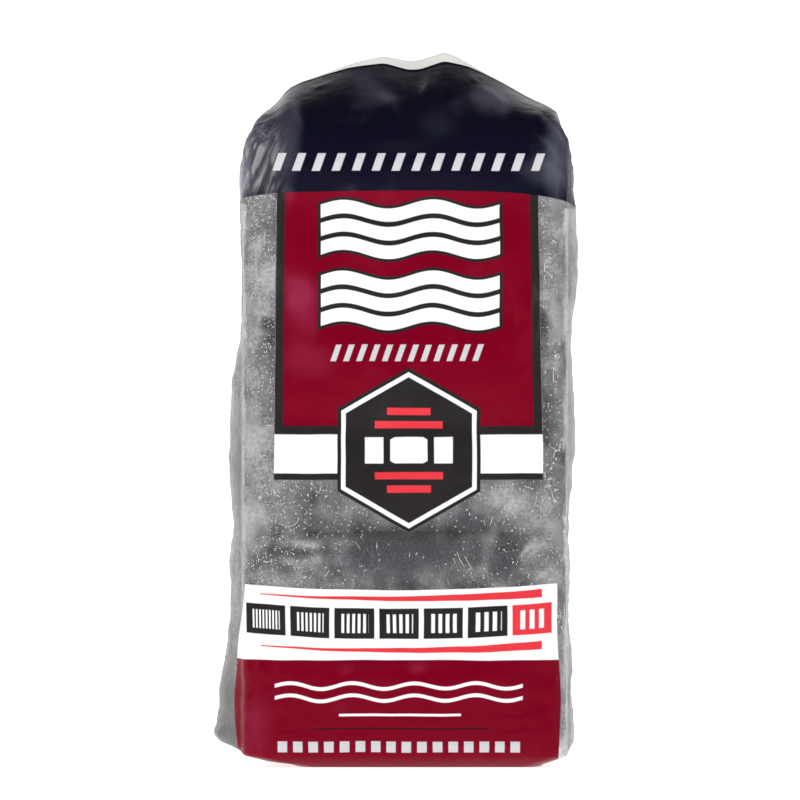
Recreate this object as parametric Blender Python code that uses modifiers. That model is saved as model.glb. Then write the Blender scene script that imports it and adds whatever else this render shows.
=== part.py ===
"""A film bag of rolled steel wool pads, standing on its base.

The front faces -Y, +Z is up, and the origin is the middle of the base. All sizes are in metres.
The pads lie across the bag, in rows of one roll at the front and one behind it. The bag is one
thin wall of printed film: a flat base, four sides that follow the rolls, and a gabled top whose
two lips stand up as a fin.
"""

import math

import bmesh
import bpy
from mathutils import Vector

# The pads: rolls of wool that lie across the bag, one behind the other in each row. The rows at
# the base are a little higher than those above them, and the top one is pressed down.
PAD_LENGTH = 0.133
PAD_DEPTH = 0.039
BASE_ROWS = 2
BASE_ROW_HEIGHT = 0.048
MIDDLE_ROWS = 3
MIDDLE_ROW_HEIGHT = 0.044
TOP_ROW_HEIGHT = 0.038
LAYER_NAMES = ("front", "back")
PAD_GAP = 0.0004
PAD_SQUARENESS = 2.8
END_ROUNDING = 0.012
END_SHARE = 0.66
OUTER_END_ROUNDING = 0.023
OUTER_END_SHARE = 0.45
OUTER_ROUNDING_RINGS = (0.0, 0.3, 1.0)

# The batt that each pad is rolled from.
BATT_THICKNESS = 0.0066
CORE_RADIUS = 0.0035
TURN_GAP = 0.0006
TAIL_THICKNESS = 0.0008
TAIL_ANGLE = math.radians(-30)
POINTS_PER_TURN = 12

# The film.
FILM_WALL = 0.0001
FILM_CLEARANCE = 0.0008
CORNER_RADIUS = 0.009
FRONT_CROWN = 0.0020
ROW_VALLEY = 0.0034
VALLEY_HALF_WIDTH = 0.012
BILLOW_HEIGHT = 0.0022
BILLOW_LENGTH_ACROSS = 0.047
BILLOW_LENGTH_UP = 0.059

# How high the film is still turning in to the flat base, and how far in the base's long edges lie.
BASE_ROUNDING = 0.009
BASE_FRONT_INSET = 0.010

# The gabled top. The lips are left this far apart, so that the bag isn't a sealed hollow.
LIP_GAP = 0.0010
LIP_ROUNDNESS = 0.4
FIN_HEIGHT = 0.0042
FIN_END_HEIGHT = 0.0012
FIN_TAPER_START = 0.35
FIN_TAPER_END = 0.60
RIDGE_SWAY = 0.0018
RIDGE_BENDS = 2.5

# How far the film stands out past its clearance at the pads' ends, by height counted in rows.
EAR_ROWS = 0.28
LEFT_BULGE = (
    (0.00, -0.0225), (0.02, -0.0133), (0.07, -0.0057), (0.12, 0.0048), (0.18, 0.0098),
    (EAR_ROWS, 0.0123), (0.34, 0.0106), (0.59, 0.0106), (1.11, 0.0064), (1.43, 0.0052),
    (1.74, 0.0064), (1.99, 0.0039), (2.40, 0.0059), (3.36, 0.0052), (4.02, 0.0003),
    (5.20, 0.0018), (5.60, 0.0008),
)
RIGHT_BULGE = (
    (0.00, -0.0106), (0.07, -0.0018), (0.12, 0.0028), (0.33, 0.0036), (0.59, 0.0016),
    (0.85, 0.0028), (1.27, 0.0007), (1.74, 0.0020), (1.97, 0.0003), (2.91, 0.0041),
    (3.87, 0.0020), (4.38, 0.0053), (5.60, 0.0026),
)
# Height of the gable's ridge above the top pads, from the left shoulder, -1, to the right, 1.
RIDGE_RISE = (
    (-1.00, -0.0117), (-0.93, -0.0011), (-0.86, 0.0064), (-0.77, 0.0118), (-0.665, 0.0192),
    (-0.51, 0.0208), (-0.32, 0.0240), (-0.10, 0.0260), (0.075, 0.0240), (0.30, 0.0270),
    (0.455, 0.0232), (0.64, 0.0166), (0.77, 0.0119), (0.915, 0.0078), (1.00, -0.0037),
)

# Folds that cross the film: place across, height in rows, tilt, length, width and height.
FOLDS = (
    (-0.052, 2.05, 15.0, 0.030, 0.0060, 0.0022),
    (0.050, 1.95, 50.0, 0.030, 0.0060, 0.0026),
    (-0.056, 4.02, -20.0, 0.024, 0.0060, 0.0022),
    (0.054, 4.05, 65.0, 0.026, 0.0060, 0.0024),
    (-0.058, 5.20, 75.0, 0.045, 0.0060, 0.0020),
    (0.060, 5.45, -60.0, 0.036, 0.0060, 0.0022),
)

# Edges of the printed fields: the header at the top, the panel and the band under it on the
# front, and the strip and the footer, which wrap the front corners.
HEADER_FOOT = 0.2415
PANEL_FOOT = 0.1405
BAND_FOOT = 0.1235
STRIP_TOP = 0.0755
STRIP_FOOT = 0.0447

# How finely the film is divided, and how much closer its points lie towards the corners.
FRONT_STEPS = 12
SIDE_STEPS = 4
CORNER_STEPS = 3
CROWDING = 0.25
STEPS_PER_ROW = 5
LEAST_STEP = 0.0035
BASE_STEPS = 4
GABLE_STEPS = 7

# Colours are linear, as Blender keeps them. The inks' places in the list are the film's slots.
WOOL_GREY = (0.10, 0.10, 0.11, 1.0)
CLEAR_FILM = (0.62, 0.62, 0.60, 1.0)
NAVY_INK = (0.014, 0.014, 0.032, 1.0)
CRIMSON_INK = (0.21, 0.002, 0.020, 1.0)
WHITE_INK = (0.90, 0.90, 0.90, 1.0)
CLEAR, NAVY, CRIMSON, WHITE = range(4)


def clear_scene():
    for obj in list(bpy.data.objects):
        bpy.data.objects.remove(obj)


def make_material(name, colour, roughness, metallic=0.0, alpha=1.0):
    material = bpy.data.materials.new(name)
    material.use_nodes = True
    shader = material.node_tree.nodes["Principled BSDF"]
    shader.inputs["Base Color"].default_value = colour
    shader.inputs["Roughness"].default_value = roughness
    shader.inputs["Metallic"].default_value = metallic
    shader.inputs["Alpha"].default_value = alpha
    return material


def add_object(name, bm, collection, parent, materials):
    mesh = bpy.data.meshes.new(name)
    bm.to_mesh(mesh)
    bm.free()
    for material in materials:
        mesh.materials.append(material)
    obj = bpy.data.objects.new(name, mesh)
    collection.objects.link(obj)
    obj.parent = parent
    return obj


def mix(first, second, share):
    return first + (second - first) * share


def ease(value, start, end):
    """0 before start and 1 after end, with a smooth rise between them."""
    t = min(max((value - start) / (end - start), 0.0), 1.0)
    return t * t * (3 - 2 * t)


def smooth_along(points, at):
    """The value at a place along a smooth curve through (place, value) points."""
    at = min(max(at, points[0][0]), points[-1][0])
    for i in range(len(points) - 1):
        if at <= points[i + 1][0]:
            break

    def slope(k):
        low, high = max(k - 1, 0), min(k + 1, len(points) - 1)
        return (points[high][1] - points[low][1]) / (points[high][0] - points[low][0])

    span = points[i + 1][0] - points[i][0]
    t = (at - points[i][0]) / span
    return (
        (1 + 2 * t) * (1 - t) ** 2 * points[i][1]
        + t * (1 - t) ** 2 * span * slope(i)
        + t * t * (3 - 2 * t) * points[i + 1][1]
        - t * t * (1 - t) * span * slope(i + 1)
    )


# Where the rows of pads lie, and how far out the film round them stands.

ROW_HEIGHTS = BASE_ROWS * [BASE_ROW_HEIGHT] + MIDDLE_ROWS * [MIDDLE_ROW_HEIGHT] + [TOP_ROW_HEIGHT]


def row_levels():
    """The height of the seam under each row, and of the top of the last one."""
    levels = [FILM_WALL + PAD_GAP]
    for height in ROW_HEIGHTS:
        levels.append(levels[-1] + height + PAD_GAP)
    return levels


LEVELS = row_levels()
STACK_TOP = LEVELS[-1] - PAD_GAP
BODY_TOP = LEVELS[-2] + ROW_HEIGHTS[-1] / 2
HALF_DEPTH = PAD_DEPTH + PAD_GAP / 2 + FILM_CLEARANCE + FILM_WALL
HALF_WIDTH = PAD_LENGTH / 2 + FILM_CLEARANCE + FILM_WALL


def rows_at(z):
    """A height counted in rows, so that 2.0 is the seam between the second row and the third."""
    for row, height in enumerate(ROW_HEIGHTS):
        if z <= LEVELS[row + 1]:
            return row + (z - LEVELS[row]) / (height + PAD_GAP)
    return float(len(ROW_HEIGHTS))


def height_of(rows):
    row = min(int(rows), len(ROW_HEIGHTS) - 1)
    return LEVELS[row] + (rows - row) * (ROW_HEIGHTS[row] + PAD_GAP)


# The pads.


def oval_radius(angle, half_depth, half_height):
    """Radius of the squarish oval that a roll is pressed into, in one direction from its middle."""
    across = abs(math.cos(angle)) / half_depth
    along = abs(math.sin(angle)) / half_height
    return (across**PAD_SQUARENESS + along**PAD_SQUARENESS) ** (-1 / PAD_SQUARENESS)


def roll_outline(half_depth, half_height):
    """Outline of a roll seen from its end: an oval with one spiral slit between its turns.

    Radii are worked out on a round roll and stretched to the oval. The last turn thins down to
    its tail under the oval, so the roll keeps a smooth outside. The tail lies on the side.
    """
    round_radius = (half_depth + half_height) / 2
    turns = 1 + (round_radius - TURN_GAP - TAIL_THICKNESS - CORE_RADIUS) / BATT_THICKNESS
    steps = int(turns * POINTS_PER_TURN)

    def outside(step):
        return min(round_radius, CORE_RADIUS + BATT_THICKNESS * step / POINTS_PER_TURN)

    def point(step, radius):
        angle = 2 * math.pi * (step - steps) / POINTS_PER_TURN + TAIL_ANGLE
        stretched = radius / round_radius * oval_radius(angle, half_depth, half_height)
        return Vector((0, stretched * math.cos(angle), stretched * math.sin(angle)))

    points = [point(step, outside(step)) for step in range(steps + 1)]
    for step in range(steps, POINTS_PER_TURN - 1, -1):
        points.append(point(step, outside(step - POINTS_PER_TURN) + TURN_GAP))
    return points


def pad_bmesh(height, outer):
    """A roll along X, centred on the origin, whose ends round in. Outer pads round in further."""
    rounding = OUTER_END_ROUNDING if outer else END_ROUNDING
    end_share = OUTER_END_SHARE if outer else END_SHARE
    parts = OUTER_ROUNDING_RINGS if outer else (0.0, 1.0)
    bm = bmesh.new()
    outline = roll_outline(PAD_DEPTH / 2, height / 2)
    rings = []
    for end, part in [(-1, part) for part in parts] + [(1, part) for part in reversed(parts)]:
        x = end * (PAD_LENGTH / 2 - part * rounding)
        share = mix(end_share, 1.0, math.sqrt(1 - (1 - part) ** 2))
        rings.append([bm.verts.new((x, share * y, share * z)) for _, y, z in outline])
    for low, high in zip(rings, rings[1:]):
        for k in range(len(outline)):
            after = (k + 1) % len(outline)
            bm.faces.new((low[k], low[after], high[after], high[k]))
    bm.faces.new(rings[0])
    bm.faces.new(rings[-1])
    bmesh.ops.recalc_face_normals(bm, faces=bm.faces)
    return bm


def make_pads(collection, parent, wool, middle):
    """Every other roll lies the other way up, so that their tails don't all face one way."""
    for row, height in enumerate(ROW_HEIGHTS):
        outer = row in (0, len(ROW_HEIGHTS) - 1)
        for layer, layer_name in enumerate(LAYER_NAMES):
            name = f"wool_pad_{row + 1}_{layer_name}"
            pad = add_object(name, pad_bmesh(height, outer), collection, parent, [wool])
            side = 2 * layer - 1
            pad.location = (-middle, side * (PAD_DEPTH + PAD_GAP) / 2, LEVELS[row] + height / 2)
            pad.rotation_euler = (math.pi * ((row + layer) % 2), 0, 0)


# The film bag.


def fold_height(x, z):
    """How far the crossing folds lift the film off the pads at one place on its front or back."""
    lift = 0.0
    for across, rows, tilt, length, width, height in FOLDS:
        dx = x - across
        dz = z - height_of(rows)
        along = dx * math.cos(math.radians(tilt)) + dz * math.sin(math.radians(tilt))
        aside = dz * math.cos(math.radians(tilt)) - dx * math.sin(math.radians(tilt))
        lift += height * math.exp(-((2 * along / length) ** 2) - (aside / width) ** 2)
    return lift


def valley_depth(z):
    """How far the film dips in between two rows of pads."""
    nearest = min(abs(z - level) for level in LEVELS[1:-1])
    return ROW_VALLEY * (1 - ease(nearest, 0.0, VALLEY_HALF_WIDTH))


def billow(x, z):
    """Slow waves of the slack film, never inwards."""
    across = math.sin(2 * math.pi * x / BILLOW_LENGTH_ACROSS)
    up = math.sin(2 * math.pi * z / BILLOW_LENGTH_UP)
    return BILLOW_HEIGHT * (1 + across * up) / 2


def loop_stations():
    """Where each point of a level loop lies: (kind, place) going round anticlockwise from above.

    Front and back points have a place from -1 to 1 across, side points one from -1 to 1 in depth,
    and corner points an angle.
    """
    stretches = [
        ("front", FRONT_STEPS),
        ("right", SIDE_STEPS),
        ("back", FRONT_STEPS),
        ("left", SIDE_STEPS),
    ]
    stations = []
    for quarter, (kind, steps) in enumerate(stretches):
        evenly = [-1 + 2 * k / steps for k in range(steps)]
        stations += [(kind, t * (1 + CROWDING - CROWDING * t * t)) for t in evenly]
        stations += [
            (f"corner_{quarter}", math.pi / 2 * (quarter - 1 + k / CORNER_STEPS))
            for k in range(CORNER_STEPS)
        ]
    return stations


def loop_point(station, half_depth, left, right):
    """A point of a level loop. left and right are how far the sides stand out in their middle."""
    kind, place = station
    corner = min(CORNER_RADIUS, END_ROUNDING, LIP_ROUNDNESS * half_depth)
    inner_y = half_depth - corner
    side_x = 1 if kind in ("right", "corner_0", "corner_1") else -1
    if kind in ("front", "back"):
        side_x = math.copysign(1, place) * (1 if kind == "front" else -1)
    reach = right if side_x > 0 else left
    edge = min(HALF_WIDTH, reach)
    if kind in ("front", "back"):
        side_y = -1 if kind == "front" else 1
        return Vector((side_x * abs(place) * (edge - corner), side_y * half_depth, 0))
    if kind in ("left", "right"):
        x = mix(edge, reach, 1 - place**2)
        return Vector((side_x * x, side_x * place * inner_y, 0))
    side_y = 1 if kind in ("corner_1", "corner_2") else -1
    x = side_x * (edge - corner) + corner * math.cos(place)
    return Vector((x, side_y * inner_y + corner * math.sin(place), 0))


def body_reach(z):
    """How far the left and the right side stand out from the pads' middle."""
    rows = rows_at(z)
    return HALF_WIDTH + smooth_along(LEFT_BULGE, rows), HALF_WIDTH + smooth_along(RIGHT_BULGE, rows)


def body_point(station, z):
    """A point of the film between the base and the gable."""
    left, right = body_reach(z)
    turn_in = (1 - min(z / BASE_ROUNDING, 1)) ** 2
    point = loop_point(station, HALF_DEPTH - BASE_FRONT_INSET * turn_in, left, right)
    if station[0] in ("front", "back"):
        across = 1 - station[1] ** 2
        settle = min(z / LEVELS[1], 1)
        slack = across * (FRONT_CROWN + billow(point.x, z)) + fold_height(point.x, z)
        point.y += math.copysign(settle * slack - across * valley_depth(z), point.y)
    point.z = z
    return point


def gable_point(station, share):
    """A point of the gabled top, from the last level loop, 0, to the ridge, 1."""
    lips = LIP_GAP / 2 + FILM_WALL
    half_depth = mix(HALF_DEPTH, lips, share**2)
    left, right = (mix(reach, HALF_WIDTH, share) for reach in body_reach(BODY_TOP))
    level = loop_point(station, half_depth, left, right)
    proud = body_point(station, BODY_TOP).y - loop_point(station, HALF_DEPTH, left, right).y
    across = level.x / (right if level.x > 0 else left)
    rise = mix(share, 1 - (1 - share) ** 3, abs(across) ** 3)
    sway = RIDGE_SWAY * math.sin(RIDGE_BENDS * math.pi * across) * (1 - across**2) * share**2
    ridge = STACK_TOP + smooth_along(RIDGE_RISE, across)
    return Vector((level.x, level.y + proud * (1 - share) + sway, mix(BODY_TOP, ridge, rise)))


def fin_point(station):
    point = gable_point(station, 1.0)
    taper = ease(abs(point.x) / HALF_WIDTH, FIN_TAPER_START, FIN_TAPER_END)
    point.z += mix(FIN_HEIGHT, FIN_END_HEIGHT, taper)
    return point


def body_levels():
    """Heights of the level loops: around the base, through each row and at the print's edges."""
    base = [BASE_ROUNDING * (k / BASE_STEPS) ** 2 for k in range(BASE_STEPS + 1)]
    edges = [STRIP_FOOT, STRIP_TOP, BAND_FOOT, PANEL_FOOT, HEADER_FOOT]
    fixed = [z for z in [height_of(EAR_ROWS), *edges] if BASE_ROUNDING < z < BODY_TOP]
    taken = base + fixed + [BODY_TOP]
    between = []
    for row in range(len(ROW_HEIGHTS)):
        for k in range(STEPS_PER_ROW):
            z = height_of(row + k / STEPS_PER_ROW)
            if z < BODY_TOP and min(abs(z - other) for other in taken) > LEAST_STEP:
                between.append(z)
    return sorted(taken + between)


def film_loops(stations):
    loops = [[body_point(station, z) for station in stations] for z in body_levels()]
    for k in range(1, GABLE_STEPS + 1):
        loops.append([gable_point(station, k / GABLE_STEPS) for station in stations])
    loops.append([fin_point(station) for station in stations])
    return loops


def middle_of(loops):
    places = [point.x for loop in loops for point in loop]
    return (min(places) + max(places)) / 2


def print_slot(kind, z):
    """Which ink covers a face of the film."""
    if z > HEADER_FOOT:
        return NAVY
    if kind == "front" and z > PANEL_FOOT:
        return CRIMSON
    if kind == "front" and z > BAND_FOOT:
        return WHITE
    if kind in ("front", "corner_0", "corner_3"):
        if z < STRIP_FOOT:
            return CRIMSON
        if z < STRIP_TOP:
            return WHITE
    return CLEAR


def make_film_bag(collection, parent, inks, stations, loops, middle):
    bm = bmesh.new()
    rings = [[bm.verts.new((p.x - middle, p.y, p.z)) for p in loop] for loop in loops]
    base = bm.faces.new(list(reversed(rings[0])))
    base.material_index = CRIMSON
    for low, high in zip(rings, rings[1:]):
        for k, station in enumerate(stations):
            after = (k + 1) % len(stations)
            face = bm.faces.new((low[k], low[after], high[after], high[k]))
            face.smooth = True
            face.material_index = print_slot(station[0], face.calc_center_median().z)
    # Both sides of so thin a wall need the same diagonals, or they would cross.
    bmesh.ops.triangulate(bm, faces=bm.faces)

    bag = add_object("film_bag", bm, collection, parent, inks)
    wall = bag.modifiers.new("film wall", "SOLIDIFY")
    wall.thickness = FILM_WALL
    wall.offset = -1
    wall.use_even_offset = True


def main():
    clear_scene()
    collection = bpy.data.collections.new("steel_wool_bag")
    bpy.context.scene.collection.children.link(collection)
    base = bpy.data.objects.new("base_middle", None)
    collection.objects.link(base)
    wool = make_material("steel wool", WOOL_GREY, roughness=0.55, metallic=0.85)
    inks = [
        make_material("clear film", CLEAR_FILM, roughness=0.3, alpha=0.45),
        make_material("navy ink", NAVY_INK, roughness=0.35),
        make_material("crimson ink", CRIMSON_INK, roughness=0.35),
        make_material("white ink", WHITE_INK, roughness=0.35),
    ]
    stations = loop_stations()
    loops = film_loops(stations)
    middle = middle_of(loops)
    make_pads(collection, base, wool, middle)
    make_film_bag(collection, base, inks, stations, loops, middle)


main()
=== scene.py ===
"""Looks for the film bag of steel wool pads: printed hazy film over rolls of loose steel fibres."""

import math
from functools import partialmethod, reduce

import bpy
import numpy as np
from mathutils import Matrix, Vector, noise
from mathutils.bvhtree import BVHTree
from numpy.lib.stride_tricks import sliding_window_view


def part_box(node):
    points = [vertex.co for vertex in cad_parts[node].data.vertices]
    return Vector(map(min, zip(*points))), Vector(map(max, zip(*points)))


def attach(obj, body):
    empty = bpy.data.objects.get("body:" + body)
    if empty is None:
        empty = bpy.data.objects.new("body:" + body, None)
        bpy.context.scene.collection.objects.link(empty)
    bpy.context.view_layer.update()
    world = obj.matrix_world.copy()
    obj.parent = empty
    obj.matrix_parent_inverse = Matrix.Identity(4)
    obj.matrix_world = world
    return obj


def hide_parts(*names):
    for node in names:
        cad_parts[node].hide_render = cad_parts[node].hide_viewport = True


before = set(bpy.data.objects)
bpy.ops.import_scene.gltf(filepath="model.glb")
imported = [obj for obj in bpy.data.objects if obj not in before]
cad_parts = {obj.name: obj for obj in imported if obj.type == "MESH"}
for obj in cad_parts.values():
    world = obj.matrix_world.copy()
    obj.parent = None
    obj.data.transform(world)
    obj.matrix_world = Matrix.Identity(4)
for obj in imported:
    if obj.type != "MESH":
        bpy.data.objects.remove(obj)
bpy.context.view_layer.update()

# The camera stands this far in front of the bag's middle and looks level.
LENS = 200.0
CAMERA_DISTANCE = 1.870
CAMERA_X = 0.0015
CAMERA_HEIGHT = 0.1521

# Lights: place, size and power.
LIGHTS = {
    "key": ((-1.25, -0.95, 0.75), (0.4, 0.5), 9.5),
    "fill": ((1.30, -0.85, 0.45), (0.35, 0.5), 6.0),
    "glint_left": ((-0.70, -1.10, 0.35), (0.05, 0.05), 1.3),
    "glint_right": ((0.60, -1.15, 0.75), (0.05, 0.05), 1.3),
}
LIGHTS_AIM = (0.0, 0.0, 0.16)
WORLD_STRENGTH = 0.12
# The floor: half its width, its front and back edges, the backdrop's height and the bend between.
FLOOR = (25.0, -25.0, 3.0, 4.2, 0.6)
FLOOR_GLOW = 0.85

# How finely the film is divided: columns round the bag and rows up it.
FRONT_COLUMNS = 150
BACK_COLUMNS = 56
SIDE_COLUMNS = 46
CORNER_COLUMNS = 10
BODY_ROWS = 206
GABLE_ROWS = 54
FIN_ROWS = 4
BASE_RINGS = 6

# The film's form, as in the CAD.
CORNER_RADIUS = 0.009
FILM_CLEARANCE = 0.0009
DEEPEST_DIMPLE = 0.5
BASE_ROUNDING = 0.009
BASE_FRONT_INSET = 0.010
LIP_HALF_GAP = 0.0005
LIP_ROUNDNESS = 0.4
# The body's front and back settle to a level depth over this length before each corner.
CORNER_FADE = 0.008
# The slit in the middle of the base, where the film's rows start.
BASE_SLIT = (-0.02, 0.03)
# The folded ear low on the left: its height, half its height and how far it stands out.
EAR = (0.0115, 0.0048, 0.0018)
# Points along the top, in millimetres: place across, height of the seal and of the fin above it.
TOP_LINE = (
    (-60.7, 263.9, 0.5), (-58.2, 269.5, 0.5), (-55.7, 272.4, 0.5), (-50.7, 276.1, 0.5),
    (-45.6, 282.7, 0.6), (-40.6, 285.3, 0.6), (-30.5, 288.7, 0.6), (-20.4, 291.6, 1.5),
    (-15.3, 292.3, 2.4), (-5.2, 293.4, 3.4), (4.9, 290.5, 4.2), (9.9, 290.6, 4.5),
    (20, 294.1, 4.4), (25.1, 293.2, 3.6), (30.1, 292.3, 1.6), (35.2, 290.1, 0.8),
    (45.3, 285, 0.5), (55.4, 279.1, 0.5), (65.5, 274.5, 0.5), (70.5, 264.4, 0.5),
)
# How far out each shoulder comes, in millimetres: height and place across.
LEFT_SHOULDER = (
    (248, -65), (253, -63), (259.7, -61.4), (266.5, -59), (269.9, -58.4), (273.3, -56.8),
    (276.6, -52), (280, -48.8), (284, -45),
)
RIGHT_SHOULDER = (
    (248, 73.6), (253.1, 72.3), (259.8, 70.5), (266.5, 67.9), (269.9, 67), (273.3, 66),
    (276.6, 61.9), (280, 55.5), (284, 49),
)

# The print, in millimetres across and up the front.
SOFT = 0.2
FRONT_MIDDLE = 3.5
HEADER_FOOT = 238.1
HEADER_DROOP = 1.63e-7
# Where the header's pale streaks, painted highlights of the film's wrinkles, start on the left and right,
# how they lean and how fine they are.
STREAK_STARTS = (47.0, 64.0)
STREAK_LEAN = 0.42
STREAK_FINENESS = 0.62
# The panel: left, right and foot, and how much wider it grows downwards on the left and right.
PANEL = (-45.8, 54.9, 141.4)
PANEL_SPREAD = (0.010, 0.018)
BORDER = 3.5
BAND_FOOT = 121.9
BAR_FOOT = 119.2
STRIP = (-62.5, 66.3, 76.5, 45.0)
# How the strip's and footer's left and right edges lean: between two heights, by how much.
LEFT_LEANS = ((77.5, 45, -3.6), (45, 27, -1.2), (26, 4, 1.4))
RIGHT_LEANS = ((60, 27, 1.6), (26, 4, -0.8))
STRIP_SAG = 2.6
STRIP_HALF_WIDTH = 65.0
# Bundles of wavy strands: start, end, middle height, how many, pitch, swing, wave length, half
# the width of a strand and its outline.
STRANDS = tuple((-31.0, 42.5, up, 3, 7.6, 1.9, 36.75, 2.75, 1.3) for up in (222.3, 193.0))
THIN_STRAND = (-50.0, 52.0, 32.0, 2, 5.0, 1.2, 25.5, 0.75, 0.5)
# The badge: its middle and size, the ring inside its edge, bars above and below, and the plate.
BADGE = (5.2, 131.5, 29.5)
BADGE_RING = (3.4, 1.6)
BADGE_BARS = ((10.5, 14.0), (-10.5, 14.0), (16.0, 9.0), (-16.0, 9.0))
BAR_HALF_HEIGHT = 1.5
PLATE = (18.0, 5.4)
PLATE_GAP = (9.0, 1.2, 1.6)
# The blocks: start, end, middle height and half height, their margin, and the margins and pitch of
# the lines on them.
BLOCKS = (-63.0, 65.0, 62.6, 6.3)
BLOCK_COUNT = 7
BLOCK_MARGIN = 1.0
LINES_SIDE = 3.4
LINES_END = 2.4
FINEST_PITCH = 1.35
PITCH_RISE = 0.42
# The wedges: their heights, where they start and end, and their half heights there.
WEDGES = (73.0, 51.6)
WEDGE_ENDS = (-56.0, 60.0)
WEDGE_HALVES = (0.25, 1.75)
# Two thin rules in the footer: middle across and up, and half sizes.
WHITE_RULE = (1.5, 22.5, 25.0, 0.5)
DARK_RULE = (1.5, 16.8, 36.5, 0.35)
# Rows of pale dashes: start, end, middle height, half height, pitch, filled share and lean.
PALE_DASHES = (
    (-50, 64, 250, 3.6, 8.2, 0.42, 0.35),
    (-26, 37, 171.5, 3.4, 5.3, 0.45, 0.35),
    (-49, 52, 9.2, 2.3, 6.4, 0.62, 0),
)

# Each ink where the film lies close, and where it is hazy. The hazy colours are partly haze and partly
# painted sheen, lighter on the dark inks; on the white the hazy colour is darker, a painted shade of the
# wrinkles.
INKS = {
    "navy": ((0.0050, 0.0051, 0.0155), (0.095, 0.096, 0.132)),
    "crimson": ((0.195, 0.0003, 0.0130), (0.330, 0.030, 0.085)),
    "charcoal": ((0.022, 0.019, 0.020), (0.070, 0.067, 0.070)),
    "white": ((0.97, 0.97, 0.97), (0.88, 0.88, 0.89)),
    "red": ((0.78, 0.045, 0.060), (0.80, 0.14, 0.16)),
}
# The pale grey of the header's painted highlight streaks.
HIGHLIGHT_STREAK_COLOUR = (0.42, 0.425, 0.43)
DASH_COLOUR = (0.62, 0.62, 0.64)
DARK_RULE_COLOUR = (0.05, 0.004, 0.008)
FIN_COLOUR = (0.83, 0.82, 0.79)
CLEAR_COLOUR = (0.76, 0.75, 0.765)
# The grey of the lobes of bare film beside the wool, a painted shade of the bag's dark inside.
LOBE_SHADE_COLOUR = (0.16, 0.157, 0.153)

STRAND_SEED = 7
STRANDS_PROUD = 0.0002
# How square a roll is across, where 2 would be an ellipse.
SQUARENESS = 2.8
# How a roll narrows at its ends: the length that it takes and the share that is left, between the
# plain rolls and the round corners of the lowest and highest.
END_ROUNDING = (0.005, 0.023)
END_SHARE = (1.0, 0.45)
# Kinds of fibre in a roll's skin: how many on a front and on a back roll, points along each, how
# they gather at the ends, shortest and longest length, curl, and thinnest and thickest radius.
# The glint strands and the glints are white: painted glints of light on the steel.
FIBRES = {
    "steel strands": (1000, 420, 8, 1.0, 0.005, 0.022, 0.9, 0.00004, 0.00010),
    "glint strands": (130, 30, 5, 0.8, 0.002, 0.008, 0.6, 0.00010, 0.00018),
    "glints": (900, 300, 3, 0.6, 0.0004, 0.0013, 0.5, 0.00014, 0.00040),
}
# Fibres on a roll's two ends, loose ones beside them and short bits against the film's front: how
# many, and thinnest and thickest radius.
# The loose ones and the short bits are white as well, painted glints.
END_FIBRES = (340, 0.00005, 0.00012)
STRAYS = (110, 0.00008, 0.00022)
LOOSE_BITS = (650, 0.00014, 0.00034)
# The places of the dull strands and of the white ones, painted glints, among a roll's materials, after the
# wool itself.
DULL = 1
GLINT_WHITE = 2


def mix(first, second, share):
    return first + (second - first) * share


def ease(value, start, end):
    """0 before start and 1 after end, with a smooth rise between them."""
    t = np.clip((value - start) / (end - start), 0.0, 1.0)
    return t * t * (3 - 2 * t)


def new_object(name, mesh, body="root"):
    obj = bpy.data.objects.new(name, mesh)
    bpy.context.scene.collection.objects.link(obj)
    if body:
        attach(obj, body)
    return obj


def mesh_from(name, points, quads):
    """A mesh made from an array of points and an array of four-cornered faces."""
    mesh = bpy.data.meshes.new(name)
    mesh.vertices.add(len(points))
    mesh.vertices.foreach_set("co", np.asarray(points, np.float32).ravel())
    mesh.loops.add(quads.size)
    mesh.loops.foreach_set("vertex_index", quads.ravel().astype(np.int32))
    mesh.polygons.add(len(quads))
    mesh.polygons.foreach_set("loop_start", np.arange(0, quads.size, 4, dtype=np.int32))
    mesh.polygons.foreach_set("use_smooth", np.ones(len(quads), bool))
    mesh.update(calc_edges=True)
    return mesh


def grid_quads(rows, columns):
    """The faces of a grid of points whose rows are closed loops."""
    k = np.arange(rows * columns).reshape(rows, columns)
    after = np.roll(k, -1, 1)
    return np.stack([k[:-1], after[:-1], after[1:], k[1:]], 2).reshape(-1, 4)


def search_tree(objects):
    """The faces of some objects as one search tree."""
    vertices, polygons = [], []
    for obj in objects:
        start = len(vertices)
        vertices += [v.co.copy() for v in obj.data.vertices]
        polygons += [[start + i for i in p.vertices] for p in obj.data.polygons]
    return BVHTree.FromPolygons(vertices, polygons)


# Shader helpers.


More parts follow.
